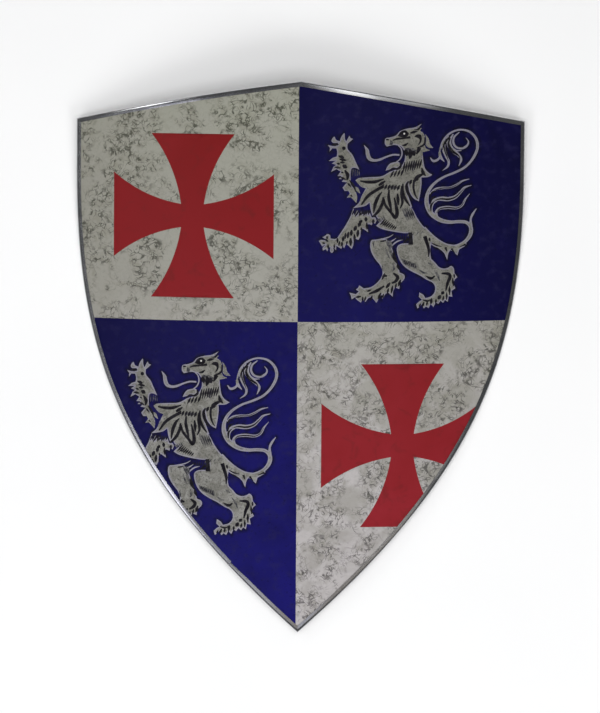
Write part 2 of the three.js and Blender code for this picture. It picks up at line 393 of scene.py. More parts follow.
def lion():
    """The lion's shapes: its silver areas, their shading, the black strokes and the light spots."""
    silver = []
    shade = []
    dark = []
    light = []

    # Tail: one long curve that swells behind the back, with flame-shaped tufts
    silver += [
        stroke(
            [(56, 43.5), (60.5, 39), (65.5, 35.8), (70.5, 34.2), (75, 34.6), (79.3, 37), (81.8, 40.6),
             (82, 44.4), (79.6, 47), (75.5, 47.5), (70.5, 47.3), (65.6, 48.4), (61, 51.6), (58.6, 55.6),
             (58, 60), (59.3, 64.6), (62.6, 68.6), (67.4, 71.7), (73, 73.9), (78.6, 76.8), (82.8, 81.4),
             (85.2, 87), (84.4, 92), (80.8, 95.8), (75.6, 96.9), (70.6, 95.2), (67, 91.6), (65.2, 87),
             (64.5, 83)],
            4, 4, 3, 1.6, 1.7, 2.2, 1.7, 1.6, 2.2, 2.6, 2.4, 1.7, 1.3, 1.1, 1.2, 1.2, 1.4, 1.5, 1.2, 0.9,
            1, 1, 0.5,
        ),
        outline(
            [(60.8, 36.5), (59, 40)], [(66, 36.6), (74, 35), (79.6, 37)], [(79.4, 34.8), (75.8, 32.4)],
            [(74.9, 29.3)], [(72.6, 31.4), (71, 32.2)], [(70, 30.4), (69.4, 27)],
            [(67.4, 31), (63.4, 33.6), (60.6, 35.4)],
        ),
        stroke([(82, 45), (82, 49), (83.2, 51.8), (85, 54.4)], 1.9, 1, 1.2, 0.4),
        stroke(
            [(59.6, 62.6), (62.6, 65), (66.4, 65.7), (70.4, 65.9), (74, 67.3), (77.4, 69.4), (81, 70.4)],
            0.6, 1.2, 1.3, 1, 1.1, 0.9, 0.3,
        ),
        stroke(
            [(59.6, 56), (61.8, 58.9), (65.4, 59.9), (70, 59.7), (73.6, 60.9), (76.2, 63.3),
             (78.6, 65.9), (82.2, 67)],
            0.8, 1.6, 2.4, 2.2, 1.6, 1.2, 0.3,
        ),
        stroke(
            [(63.6, 50), (63.2, 52.6), (65, 54.6), (69.4, 55.2), (74.4, 54.9), (77.3, 56.4), (79, 59.6),
             (81.4, 62.6)],
            1.6, 1.4, 1.7, 1.6, 1.2, 1, 0.2,
        ),
        stroke([(61.6, 51.6), (60.8, 54.4), (61.6, 57.2), (63.8, 58.8)], 0.6, 0.9, 0.8, 0.4),
        # The curl at its end and the tufts that fall from it
        stroke(
            [(75.4, 95.6), (72.6, 93), (72.2, 89.8), (74, 87.5), (77, 87), (79.6, 88.4), (80.3, 90.6),
             (78.9, 92.6)],
            0.5, 1, 1.1, 1.3, 1.3, 0.9, 0.2,
        ),
        stroke([(72, 94.6), (70.5, 91.4), (71, 88), (73.4, 85.8), (76.6, 85.7)], 0.8, 1.2, 1.2, 1, 0.3),
        stroke(
            [(69, 94.4), (69.2, 89.6), (71.4, 85.9), (74.8, 83.5), (76.4, 80.8), (75.2, 77.4)],
            1, 1.6, 1.7, 2, 1.4, 0.3,
        ),
        stroke(
            [(67.2, 91.8), (66.9, 87), (68.2, 83), (69.7, 80), (69.2, 77.2), (66.4, 75)],
            1.4, 2, 1.6, 1.3, 1.1, 0.2,
        ),
        stroke([(64.8, 85), (65.3, 82.4), (67.4, 79.8)], 1.2, 1.6, 0.3),
        stroke([(65.4, 83), (63.8, 80.9), (61.4, 80.2), (59.8, 82)], 0.9, 1.2, 1.3, 0.4),
    ]
    dark += [
        inked([(71.6, 94.8), (67.6, 90), (66.2, 86)], 0.3, 0.9, 0.2),
        inked([(70.4, 92.6), (69.5, 89), (71, 85.6), (74.6, 83)], 0.5, 0.8, 0.6, 0.2),
        inked([(68.2, 90), (68.5, 86), (69.6, 83)], 0.5, 0.7, 0.2),
        inked([(60, 57), (61, 60.2), (63.6, 61.6)], 0.3, 0.9, 0.2),
        inked([(60, 61), (60.9, 63.2), (63.4, 64.4)], 0.3, 0.8, 0.2),
        inked([(60.4, 53.4), (60.5, 56.4), (62.2, 58.6)], 0.4, 0.9, 0.2),
        inked([(68.4, 33.8), (69.2, 31.4)], 1, 0.3),
        inked([(71.6, 33), (73.6, 30.6)], 0.9, 0.2),
        inked([(76, 33.8), (79.4, 35.2)], 0.2, 0.8),
        stroke(
            [(61.8, 64.5), (66.4, 65.6), (70.4, 65.8), (74, 67.2), (76.6, 69)],
            0.2, 0.5, 0.5, 0.4, 0.1,
        ),
        stroke(
            [(62.4, 58.8), (65.4, 59.8), (70, 59.6), (73.6, 60.8), (76.2, 63.2), (78.6, 65.7)],
            0.2, 0.8, 1, 0.8, 0.5, 0.1,
        ),
        stroke(
            [(63.5, 52.4), (65.2, 54.4), (69.4, 55.1), (74.3, 54.8), (77.1, 56.4), (78.8, 59.4)],
            0.2, 0.6, 0.7, 0.6, 0.4, 0.1,
        ),
        stroke([(69.6, 92.4), (70, 88.8), (72, 85.7), (75, 83), (75.9, 80.6)], 0.2, 0.6, 0.6, 0.8, 0.2),
        stroke([(67.4, 90), (67.4, 86.4), (68.6, 83), (69.7, 80.2)], 0.2, 0.7, 0.6, 0.2),
        stroke([(73, 92.4), (73, 89.8), (74.4, 88), (77, 87.6), (79.2, 89)], 0.1, 0.4, 0.4, 0.5, 0.1),
    ]

    # Hind legs and body, far leg first
    silver += [
        outline(
            [(28.2, 37.2), (27.9, 34.6), (28.7, 31.2), (30.6, 27.8), (33.4, 24.2), (34.6, 21),
             (34.2, 18.2), (31.8, 15), (28.4, 12.6), (24.6, 11.9)],
            *straight((22.3, 13.6), (21.6, 12.2), (20.4, 11.3), (22, 10.3), (20.4, 8.8), (16.9, 9.7),
                      (17.8, 8), (18.2, 6), (19.8, 7.2), (21.4, 5.4), (23.2, 4.3), (24, 6.2),
                      (25.6, 4.6), (27, 6.6), (28.8, 7.4), (31.5, 4.1), (32.8, 6.4), (34.4, 8.6),
                      (34.6, 6.2), (36.2, 8.8), (37.6, 9.8), (40.2, 7.4), (40.4, 10.4), (41.4, 12.4),
                      (43.7, 11.5), (44, 14.4)), [(46.4, 17), (46.2, 19.2), (43.8, 20.4)],
            [(43.2, 23), (41.8, 26.6), (40.6, 30), (39.6, 33.4), (38.6, 36), (36.8, 38.2)],
            [(34, 38.4), (31.4, 38.2), (29, 38)],
        ),
        stroke([(31, 37.9), (34.6, 38.5), (38, 39.5), (40.2, 40.8)], 0.5, 0.7, 0.6, 0.3),
        stroke([(37.6, 36.6), (39.6, 37.4), (42, 39)], 0.5, 0.7, 0.2),
        stroke([(39.4, 34.4), (40.6, 35.8), (42.6, 37.2), (45.4, 38)], 0.4, 0.8, 0.7, 0.2),
        outline(
            [(50, 41), (45.4, 41.6), (39.6, 42.5), (34.2, 43.8), (31, 45.5)], [(32.4, 47), (34.2, 48.4)],
            [(31, 51), (32, 60)], [(42, 63), (47.6, 58)],
            [(50.5, 54.4), (53, 49.8), (56, 45.6), (60.4, 41), (61, 37)],
            [(60.3, 33.4), (60.3, 30), (60.8, 27.6)],
            [(63, 25.4), (65, 23.2), (67.6, 22.3), (70, 22.8), (71.6, 23.7), (73, 22.4), (73.4, 19.8)],
            *straight((75, 17.6), (73.6, 16.4), (72.8, 14), (74, 11.6), (71.8, 10.2), (72.4, 7),
                      (70.4, 7.4), (69.9, 4.4), (68.4, 5.4), (67.4, 3.8), (66, 5), (64.8, 3.3),
                      (63.4, 4.2), (62.2, 1.6), (60.7, 3.4), (59.6, 1.1), (58.2, 2), (57, 0.9),
                      (56, 3.2), (53.6, 0.9), (52.9, 3.2), (54.6, 4.8), (56, 5.6), (54.3, 7.2),
                      (54.6, 9.6), (56.8, 8.2)), [(57.8, 6.5)],
            [(60.8, 7.4), (62.7, 9.6), (63, 12.4), (61.6, 14.8), (58.4, 16.4)],
            [(54.6, 18.8), (50.4, 20.9), (46.6, 23.4), (44, 26.6), (42.5, 30.6), (42.4, 34.2),
             (45, 35.9), (50.2, 36)],
        ),
    ]
    shade += row_of_strokes([(36, 38), (38.4, 33)], [(38.8, 37.8), (39.8, 33.6)], 4, 0.9)
    shade += row_of_strokes([(45, 27.8), (47, 24.4)], [(52.4, 25.2), (53, 22)], 9, 1.4)
    dark += row_of_strokes([(46, 27.4), (47.4, 24.6)], [(52, 24.8), (52.6, 22.4)], 6, 0.6)
    shade += row_of_strokes([(44.8, 55), (47.8, 48.2)], [(49.6, 55), (52, 49.2)], 6, 1.1)
    dark += row_of_strokes([(46.4, 54.6), (48.6, 49)], [(50, 54), (51.8, 49.8)], 4, 0.5)
    shade += row_of_strokes([(31.6, 49.4), (33.4, 47.4)], [(34.8, 50.6), (36, 48.4)], 4, 1)
    shade += row_of_strokes([(48, 39.6), (49, 41.6)], [(55, 41), (56.4, 42.8)], 4, 0.7)
    shade += [
        stroke([(34.4, 24.4), (35, 21)], 0.3, 1, 0.4),
        stroke([(38, 35), (39, 31.4), (40.6, 27.4)], 0.4, 1.6, 1.4, 0.4),
        stroke([(36.2, 33.6), (37.4, 30), (38.6, 27.8)], 0.3, 1, 0.3),
        stroke([(40.2, 25.4), (40.8, 22.6), (40, 21)], 0.4, 1.5, 0.4),
        stroke([(54.4, 21.8), (56.6, 20.2), (58.6, 20)], 0.3, 1.2, 0.4),
        stroke([(62.4, 21.4), (64.4, 18.6), (65.4, 15.6)], 0.3, 1.3, 0.4),
        stroke([(29.6, 36.8), (29.8, 34.2)], 0.3, 0.8, 0.3),
        stroke([(59, 25.6), (61.6, 24)], 0.3, 1.2, 0.3),
    ]
    dark += row_of_strokes([(41.4, 40.4), (42.6, 38)], [(47.6, 41.2), (47.4, 37)], 6, 0.7)
    dark += [
        outline(
            [(48.3, 41.9)], [(50.4, 42)], [(50.7, 38.6)], [(51, 35.3)], [(48.4, 35.3)], [(48.6, 38.6)],
        ),
        inked([(48.6, 38.6), (46.6, 37), (45.6, 36)], 1.2, 0.8, 0.3),
        inked([(57.2, 39.8), (58.2, 36.8), (59.4, 32.6), (59.4, 28.6)], 1.5, 1.3, 1.1, 0.4),
        inked([(59.6, 39), (60, 37)], 0.5, 0.9, 0.3),
        inked([(60.8, 36.2), (63.6, 34.8), (66.4, 34.2)], 0.3, 0.6, 0.2),
        inked([(61.2, 34.6), (64.4, 33), (66.8, 31.6)], 0.3, 0.6, 0.2),
        inked([(57.8, 18.5), (60.8, 17.1), (62.8, 18.4)], 0.2, 1.2, 0.5),
        inked(
            [(66.4, 19.7), (70.2, 19.4), (71, 17.6), (69.8, 14.6), (68.8, 10.4)],
            0.5, 1.2, 1.3, 1.1, 0.5,
        ),
        inked([(66.4, 8.4), (67.8, 10)], 0.4, 1.5, 0.4),
        inked([(64.7, 5.8), (66, 8)], 0.6, 1.7, 0.4),
        inked([(72.4, 17.4), (72.9, 12.6)], 0.2, 0.9, 0.3),
        inked([(70.8, 13), (70.9, 8)], 0.2, 1, 0.3),
        inked([(69.3, 9.6), (69.3, 5.4)], 0.2, 0.9, 0.3),
        inked([(67.8, 7.6), (67.2, 5)], 0.2, 0.9, 0.3),
        inked([(73.2, 19.4), (73.4, 17)], 0.3, 0.8, 0.2),
        inked([(63.6, 6), (63.4, 3.6)], 0.3, 0.9, 0.3),
        inked([(61.2, 6.4), (60.8, 3.2)], 0.5, 1.2, 0.4),
        inked([(59, 4.8), (58.4, 2.4)], 0.3, 0.9, 0.3),
        inked([(57.2, 4.4), (56, 1.6)], 0.4, 1, 0.4),
        inked([(55.4, 3.6), (54.4, 1.8)], 0.3, 0.7, 0.3),
        inked([(56.2, 5.6), (59, 4.9), (60.6, 5.8)], 0.3, 0.8, 0.3),
        inked([(40.4, 20.1), (42.8, 18), (41.8, 15.8), (39.6, 14.6)], 0.6, 1.3, 1.3, 0.5),
        inked([(38.8, 15), (36.6, 12)], 0.5, 1.3, 0.5),
        inked([(35.6, 13.2), (31.6, 10.6), (27.4, 8.9)], 0.6, 1.3, 0.6),
        inked([(35.2, 18.8), (37.2, 18.5)], 1.2, 1, 0.5),
        inked([(35.8, 20), (34.4, 16.6)], 0.3, 1, 0.3),
        inked([(28.6, 11), (26.2, 10.3)], 0.3, 0.8, 0.3),
        inked([(20.2, 7.1), (23.2, 7.7)], 0.3, 1, 0.4),
        inked([(24.2, 7.4), (23.9, 4.8)], 0.3, 0.9, 0.3),
        inked([(25.8, 7.6), (25, 5)], 0.3, 0.8, 0.3),
        inked([(29.2, 8), (28.4, 5.4)], 0.3, 1, 0.3),
        inked([(33.8, 9.6), (32.4, 6)], 0.4, 1.1, 0.4),
        inked([(35.4, 9), (34.6, 6.8)], 0.3, 0.8, 0.3),
        inked([(38, 12), (37.2, 9)], 0.3, 1, 0.3),
        inked([(40.2, 13.4), (39.4, 9.2)], 0.3, 1.1, 0.3),
        inked([(42.2, 14.6), (41.4, 11.8)], 0.3, 0.9, 0.3),
        inked([(44.4, 16.6), (43.2, 13)], 0.4, 1.2, 0.4),
        inked([(40.6, 32.4), (40.8, 28.8), (42.8, 24.8)], 0.3, 1.6, 0.4),
        inked([(42.4, 25.4), (43.6, 21.8)], 0.3, 1.3, 0.3),
        inked([(33.2, 37), (36.6, 37.7)], 0.3, 0.7, 0.2),
    ]
    dark += row_of_strokes([(36, 49.2), (33, 45.8)], [(42, 45.2), (40.6, 43.4)], 8, 1)
    dark += row_of_strokes([(34.6, 46.8), (33.4, 46.2)], [(39.4, 45), (38.4, 44.2)], 5, 0.6)

    # Forelegs: the raised one and the one held out
    silver += [
        outline(
            [(15.5, 86.6), (18, 83.6), (20, 79.4), (21.8, 75.6)],
            [(19.6, 76.6), (17.6, 76.2), (17.1, 73.4), (17.2, 69.6), (17.3, 67.6)],
            [(19.6, 64.4), (20.7, 61), (20.3, 57.8)],
            *straight((18.4, 59.8), (17.2, 60.9), (15.2, 60.6), (16.8, 62.8), (16, 64.3), (14, 64.2),
                      (12.9, 66), (14.4, 67.8), (15.4, 68.8), (12.4, 69.2), (13.7, 70.6), (10.8, 70.6),
                      (12.4, 72.2), (10.1, 72.2), (11.8, 74.6), (9.6, 75.9), (6.7, 74.4), (8, 77.2),
                      (9.4, 78.2), (7, 78.9), (9.2, 80.4), (5.3, 80.2), (7.6, 82), (9.6, 82.6)),
            [(9.9, 84.8), (9.4, 87)],
            *straight((7.2, 87), (5.8, 85.2), (6, 87.3), (4.8, 88.8), (7.4, 88.2), (10.4, 88.6),
                      (10.2, 90)), [(7.6, 90), (6.8, 91.4), (8.3, 93.3), (9.2, 91.6), (11.2, 90.8)],
            [(11.9, 93), (13.6, 95.2), (13.9, 92.4), (14.6, 90.6)], [(16.3, 93.8)],
            *straight((17, 92.5), (18.3, 92.1), (16.6, 90.6), (15.3, 89.4)),
        ),
        outline(
            [(19.4, 66.6), (21.2, 65.8), (22.4, 62.8)], [(20.8, 63.8), (19.6, 65.2)], [(19.4, 66.6)],
        ),
        outline(
            [(18.8, 54.8), (17.2, 50.6), (14.4, 45.4), (11.4, 40.8), (9.6, 38.6), (6.6, 38.7)],
            [(6.4, 40.4), (5, 41.1), (3.8, 40.2), (2.3, 39.4)], [(3.8, 38.4), (4.6, 37.6)],
            *straight((1.6, 38), (0.4, 37.4), (2.2, 34.4), (4, 35.6), (2.4, 33.6), (2.6, 32.2),
                      (4.2, 33), (5, 31.8), (5.6, 33.8)),
            [(6.6, 34), (6.4, 32), (7.4, 31), (8.3, 32), (8.1, 34)],
            *straight((9.6, 32.4), (9.8, 34.8), (12.4, 33.2), (13.2, 34.8), (13.9, 33.5), (15, 35.8),
                      (16.4, 34.8), (18, 33.1)), [(18.9, 35.6), (18.9, 39.2)],
            *straight((21.6, 37.9), (22.6, 39.8), (22.7, 42.6), (24, 44), (26.8, 42.1), (26.2, 45),
                      (26.9, 46.6), (28.7, 45.9), (29.2, 47.6), (30.4, 46.6), (31.2, 48.4)),
            [(30.4, 50), (28.6, 50)],
            *straight((27.6, 52.6), (26.6, 51.2), (26.4, 53.4), (25, 51.5), (23.2, 51.9), (22.8, 54),
                      (20.4, 50.8), (21.2, 54), (19, 51.6)),
        ),
    ]
    dark += [
        spot(13.4, 87.1, 1),
        inked([(6.8, 89), (10.6, 89.1)], 0.4, 1.3, 0.4),
        inked([(10.6, 83), (13.6, 82)], 0.4, 1.3, 0.5),
        inked([(11.2, 81.2), (14.8, 80.6)], 0.4, 1.2, 0.4),
        inked([(11.4, 79.6), (14, 79.4)], 0.3, 1, 0.3),
        inked([(12.8, 78), (15.2, 76.6)], 0.7, 1.8, 0.5),
        inked([(8.4, 77), (11.9, 76.5)], 0.3, 1, 0.3),
        inked([(9.6, 79), (11.6, 78.6)], 0.3, 0.8, 0.3),
        inked([(14, 75.4), (15.6, 72.6), (15.2, 70)], 0.5, 1.6, 0.5),
        inked([(12, 74.4), (13.4, 73.8)], 0.3, 0.8, 0.2),
        inked([(11.6, 71.6), (14.6, 70.3)], 0.3, 1, 0.3),
        inked([(15.6, 68.4), (17.4, 66.4)], 0.3, 0.8, 0.2),
        inked([(16.6, 70), (19, 66.6), (20, 63.6)], 0.3, 1, 0.8, 0.2),
        inked([(17.2, 62), (18.2, 61.2)], 0.8, 0.3),
        inked([(25.4, 50.2), (25.6, 47.8)], 0.6, 1.4, 0.5),
        inked([(26, 47.4), (26.1, 43.6)], 0.3, 1.1, 0.3),
        inked([(22.3, 48.4), (23.2, 47.2)], 1, 2, 0.6),
        inked([(22.4, 47.4), (21.6, 45)], 0.8, 1.5, 0.4),
        inked([(20.4, 45.4), (19.2, 42.8)], 0.7, 1.5, 0.5),
        inked([(21.4, 43.4), (21, 39.6)], 0.5, 1.3, 0.5),
        inked([(23, 44.6), (23.4, 42.6)], 0.3, 0.9, 0.3),
        inked([(17.9, 43.4), (17.6, 40.2)], 0.5, 1.3, 0.5),
        inked([(16.2, 42.4), (15.8, 38.8)], 0.4, 1.1, 0.5),
        inked([(14.7, 41.8), (14.4, 38.4)], 0.3, 1, 0.3),
        inked([(13.5, 40), (13.2, 37)], 0.4, 1.1, 0.4),
        inked([(17.4, 39), (17.4, 34.8)], 0.5, 1.3, 0.5),
        inked([(19.4, 41), (19.6, 37)], 0.4, 1.1, 0.3),
        inked([(15.6, 37.4), (15.2, 35.6)], 0.3, 0.8, 0.3),
        inked([(10.3, 39), (10.4, 36.4)], 0.3, 1, 0.4),
        inked([(11.6, 37.4), (11, 34.8)], 0.3, 0.8, 0.3),
        inked([(12.8, 37), (12.8, 34.4)], 0.4, 1, 0.4),
        inked([(8.6, 35.6), (8.8, 33.4)], 0.3, 0.8, 0.3),
        inked([(5.4, 35.4), (5.4, 33.2)], 0.3, 0.9, 0.3),
        inked([(29.5, 49), (29.3, 46.8)], 0.5, 1.2, 0.5),
        inked([(3.6, 38.5), (5.4, 37)], 0.3, 1, 0.3),
        inked([(4.8, 40), (4.8, 38.4)], 0.4, 1, 0.4),
        inked([(2.2, 36.4), (3.8, 36)], 0.3, 0.8, 0.3),
    ]
    dark += row_of_strokes([(19.4, 54.4), (18, 51.2)], [(27.6, 54), (26.6, 51.2)], 8, 1)
    dark += row_of_strokes([(20.6, 52.4), (19.6, 50.2)], [(25.2, 52.6), (24.2, 50.8)], 3, 0.8)
    shade += row_of_strokes([(17.8, 76), (18.2, 72)], [(21.6, 75.4), (21.8, 72.4)], 5, 0.5)

    # Mane, neck and head
    silver += [
        outline(
            [(35.3, 89.6), (35.7, 92.3), (38.6, 93), (41.4, 94.1), (43.5, 96.3), (47.2, 97.6),
             (51.4, 98.3), (55, 100.2)], [(53.6, 98.4), (52.6, 97.3)], [(55.2, 98)],
            [(54.2, 96.5), (55.8, 95.3), (57, 92.6), (56.7, 89.4), (55.4, 87)],
            [(55.7, 83.6), (56.2, 79.4), (57, 76.3), (58.7, 74.2), (61, 72.8)],
            [(58.6, 71.6), (55.1, 71.4)], [(55.2, 68), (54.7, 63.6), (53.8, 58.6)],
            [(51.2, 60.1), (49.1, 62.9), (48, 66.4), (47.8, 69)],
            [(46.9, 67.4), (47.5, 63.4), (50.3, 55.3)], [(47.2, 56.8), (45.3, 59.6), (44.8, 62)],
            [(44.9, 58.6), (43.7, 55.1)], [(42, 57.2), (41, 60.4)], [(41.7, 55.4), (41.3, 50.8)],
            [(38.2, 53.6), (35.9, 56.6), (34.8, 60.6)], [(34, 57.6), (32.2, 54.2), (29.2, 50.5)],
            [(28.2, 53.4), (27.4, 57.9)], [(24.6, 56.1), (18.5, 55)],
            [(21.6, 57.8), (23.2, 61.6), (25.3, 65.6)], [(22.6, 66.7), (19.7, 69.9)],
            [(21.6, 71.1), (27, 71.6), (33.6, 72.1), (38.4, 74.6), (43, 76.3), (45.3, 79), (46.2, 82),
             (45.9, 85.4), (44.2, 88)], [(40.4, 88.9), (36.4, 88)],
        ),
        outline(
            [(36.9, 77.4), (38.6, 79.1), (42.4, 80)],
            [(43.9, 78.6), (42.8, 76.6), (40.6, 76.6), (38.2, 75.8), (35.8, 75.1)],
        ),
        outline(
            [(56.9, 94.7), (58.8, 92.2), (59.6, 89.4), (61.4, 87.2)], [(59, 87.3), (57.2, 88.8)],
            [(57.5, 92), (56.9, 94.7)],
        ),
        outline(
            [(54.6, 88), (56.8, 88.6)], [(57.5, 87), (59.7, 86)], [(57.4, 85.4), (54.6, 84.8)],
            [(54.6, 88)],
        ),
        stroke(
            [(43.2, 83.5), (39.8, 83.6), (36.2, 82.5), (32.6, 81), (29.6, 80.6), (27.2, 81.6),
             (26.2, 84), (25.8, 86.2), (24.2, 88.8)],
            0.9, 0.9, 0.9, 1.2, 1.3, 2.2, 1.9, 0.2,
        ),
        stroke([(41.6, 79.7), (43.6, 81.4), (44.6, 84.2), (44, 87), (42.4, 88.6)], 0.5, 0.7, 0.7, 0.4),
    ]
    shade += [
        outline([(38.2, 91.4), (39.8, 90.6), (39.4, 88.8)], [(37.8, 88.8)], [(38.2, 91.4)]),
        outline([(49.4, 80.2), (51.8, 80)], [(52, 77), (50.6, 74.6)], [(48.8, 76.6), (49.4, 80.2)]),
        outline(
            [(46.2, 86.8), (49.6, 87.4), (52.4, 86)], [(51.4, 83.4)], [(49.2, 82.4)], [(46.8, 83.6)],
        ),
    ]
    dark += [
        outline(
            [(42.2, 93.6), (43.8, 96), (46.2, 96.7), (48.2, 95.2)],
            [(47.4, 93.5), (44.8, 92.9), (42.2, 93.6)],
        ),
        inked([(39.5, 91.3), (41.8, 92.1), (45, 92.4), (49, 93)], 0.4, 0.9, 0.6, 1),
        inked([(35.9, 91.8), (37.6, 91.6)], 0.5, 0.7, 0.3),
        inked([(44.6, 88.6), (46.2, 88.8), (47.8, 90)], 0.3, 1, 0.3),
        inked([(48.9, 95.2), (50.6, 95.7), (52.9, 96.2)], 0.5, 1.1, 0.3),
        inked([(51, 97), (53.2, 97.2), (54.8, 98.8)], 0.2, 0.8, 0.2),
        outline(
            [(51, 93.2), (52.6, 94.5), (54.7, 94.2), (55.2, 92)], [(54.6, 90), (52.9, 88.4)],
            [(54, 91.2), (53.4, 92.4), (51, 93.2)],
        ),
        inked([(56.8, 93), (56.7, 90), (55.4, 88.3), (52.4, 87.2)], 0.4, 0.7, 0.8, 0.3),
        inked([(54, 87.4), (52.4, 83.8)], 1.6, 1.3, 0.4),
        inked([(48.8, 86.8), (49.2, 84), (48.6, 81.4)], 0.5, 2, 0.5),
        inked([(50.8, 85.8), (51.2, 82.9)], 0.8, 1.8, 0.4),
        inked([(46.4, 86.4), (47.2, 83)], 0.7, 1.9, 0.5),
        inked([(43.6, 79.4), (43.9, 77.4), (42, 76), (39.8, 76.3), (37.4, 74.6)], 0.5, 1, 0.8, 0.7, 0.4),
        inked([(55.3, 76.6), (55.9, 74.2), (57.4, 72.2)], 0.4, 1.4, 0.4),
        inked([(56.9, 73.4), (55, 72.8), (52.8, 71.4), (51, 68.8)], 0.4, 1.2, 1.6, 0.6),
        inked([(51.2, 70), (50.9, 66), (51.8, 62.2), (53.2, 59.9)], 0.9, 0.9, 0.8, 0.3),
        inked([(53.2, 71.6), (52.6, 69.6)], 0.6, 1.2, 0.4),
        inked([(49.8, 70.2), (48.8, 67.6)], 0.5, 1.2, 0.4),
        inked([(48.2, 69.4), (47.2, 67), (48.2, 62.6), (50.4, 58.8)], 0.6, 1.4, 1, 0.3),
        # The middle of each lock
        inked([(22.2, 69.6), (26.2, 69), (30.4, 69.2), (35, 70.7)], 0.54, 1.22, 1.22, 0.41),
        inked([(32.2, 67.2), (35.8, 69.6)], 0.81, 1.22, 0.41),
        inked([(23, 56.8), (26.4, 61.4), (30.2, 64.2), (34.8, 66.8)], 0.54, 1.22, 1.22, 1.22),
        inked([(29.6, 52.4), (30.5, 57.4), (32.2, 61.4), (34, 63.6)], 0.41, 1.35, 1.35, 0.41),
        inked([(39.3, 53), (38.4, 57), (37.6, 61), (37.8, 65)], 0.41, 1.22, 1.22, 0.54),
        inked([(42.8, 56.6), (42.6, 60), (42.3, 62.8)], 0.41, 1.35, 0.54),
        inked([(49, 56.2), (46.6, 59.8), (45.2, 63.6), (45.2, 68.2)], 0.41, 1.08, 1.08, 0.54),
        # The gaps between the locks
        inked([(29, 50.2), (32.2, 53.4), (34.2, 57.4), (34.8, 61)], 0.68, 1.22, 1.22, 0.68),
        inked(
            [(35, 60), (36, 56.4), (39.2, 52.4), (41.2, 49.9), (42.2, 52.4), (41.4, 57.4), (40.6, 60.6)],
            0.68, 1.08, 1.08, 1.49, 1.22, 0.54,
        ),
        inked([(43.8, 54.8), (45, 58), (44.4, 63), (44.6, 67)], 0.41, 1.08, 1.08, 0.41),
    ]
    dark += row_of_strokes([(46.2, 79.8), (45.2, 74)], [(55.2, 81.2), (53.8, 76)], 8, 1.2)
    dark += row_of_strokes([(40.2, 75), (38.4, 71.4)], [(45.4, 75.8), (44, 72.2)], 4, 1.3)
    dark += row_of_strokes([(35, 67.8), (33.6, 65.2)], [(43.4, 67.4), (42.2, 64.4)], 6, 1.5)
    shade += row_of_strokes([(36.4, 67), (35.4, 65)], [(43, 67), (42, 65)], 4, 1.6)
    light += [spot(45.7, 94.9, 0.5)]
    return silver, shade, dark, light


LION_FOOT = (19.1, 51)  # the drawing's lower left corner on the upper right quarter
LION_UNIT = 1.987  # millimetres of the front view to a unit of the drawing
SECOND_LION = (-215.8, -244)  # from the first to the second, on the flat sheet


def on_quarter(shape, shift):
    """A shape of the lion's drawing, as it lies on the flat sheet."""
    seen = shape * LION_UNIT + LION_FOOT
    return flattened(seen) + shift


pelt = Finish("lion_silver", **VARNISH)
# Painted light and shade: the silver is lighter towards the tip, darker towards the top.
ground = pelt.mix(pelt.upwards(), tone(146, 145, 142), tone(122, 121, 113))
ground = pelt.mix(pelt.spread(pelt.noise(9, 3, 0.8), 0.4, 0.6, 0, 0.7), ground, tone(106, 105, 98))
ground = pelt.mix(pelt.spread(pelt.noise(3.5, 3, 1, shift=1.9), 0.5, 0.7, 0, 0.8), ground, tone(84, 83, 78))
ground = pelt.mix(pelt.spread(pelt.noise(1.5, 2, shift=4.4), 0.56, 0.7, 0, 0.6), ground, tone(66, 65, 62))
pale = pelt.spread(pelt.read("lion_edge"), 0.5, 1.7, 0.75, 0)
# The print's pale edges, with painted shade: darker towards the top.
ground = pelt.mix(pale, ground, pelt.mix(pelt.upwards(), tone(156, 153, 172), tone(126, 123, 142)))
lion_silver = varnished(pelt, ground)

shadow = Finish("lion_shade", **VARNISH)
ground = shadow.mix(shadow.spread(shadow.noise(3, 3), 0.4, 0.6), tone(52, 52, 58), tone(98, 97, 96))
lion_shade = shadow.done(Base_Color=ground)

ink = Finish("lion_black", **VARNISH)
ground = ink.mix(ink.spread(ink.noise(4, 2), 0.4, 0.7), tone(16, 14, 20), tone(34, 32, 38))
lion_black = ink.done(Base_Color=ground)

eye = Finish("lion_eye", **VARNISH)
ground = eye.mix(eye.spread(eye.noise(1, 2), 0.4, 0.6), tone(190, 189, 184), tone(206, 205, 202))
lion_eye = eye.done(Base_Color=ground)

# The sheet: cut, painted and rolled
# Its paint is colour alone, so each face of the mesh belongs to one paint, and the faces follow
# the painted contours. Its edge sits in the fold of the strip. Its back is bare rolled steel
# under a dull varnish.

SHEET_THICKNESS = 1.2
NOSE_RADIUS = 1.7  # of the strip's round fold, which the sheet's edge stays inside
QUARTER_HEIGHT = 38.6  # where the level quarter line runs
QUARTER_SIDE = -2.1  # where the upright one runs
MESH_STEP = 7  # between two loose points
LION_MESH_STEP = 3  # between two round the lions
CONTOUR_STEP = 1.3  # between two points of a painted contour, at most
BESIDE_CONTOUR = (-3.5, -1.5, 0.7, 1.7)  # rows of points beside a lion's contour, out to in
LOOSE_GAP = 0.6  # of two loose points nearer than this, one goes
MITRE_LIMIT = 1.5  # how much longer a step at a sharp point may be
EDGE_REACH = 8  # how far from a lion's contour its distance is told
MEASURED_AT_ONCE = 2000
LINE_OVERRUN = 20  # how far the level quarter line runs out past the sides
SCATTER = 0.3  # of a step, how far a loose point is off its row
SAME_POINT = 1e-4
WHOLE_HULL = 0  # the triangles fill it, and those outside the sheet's edge are dropped
SEED = 7
FLAT_ENOUGH = 0.5  # rise of the normal of a face that belongs to the front or the back
SHARP_ANGLE = 1.0  # radians

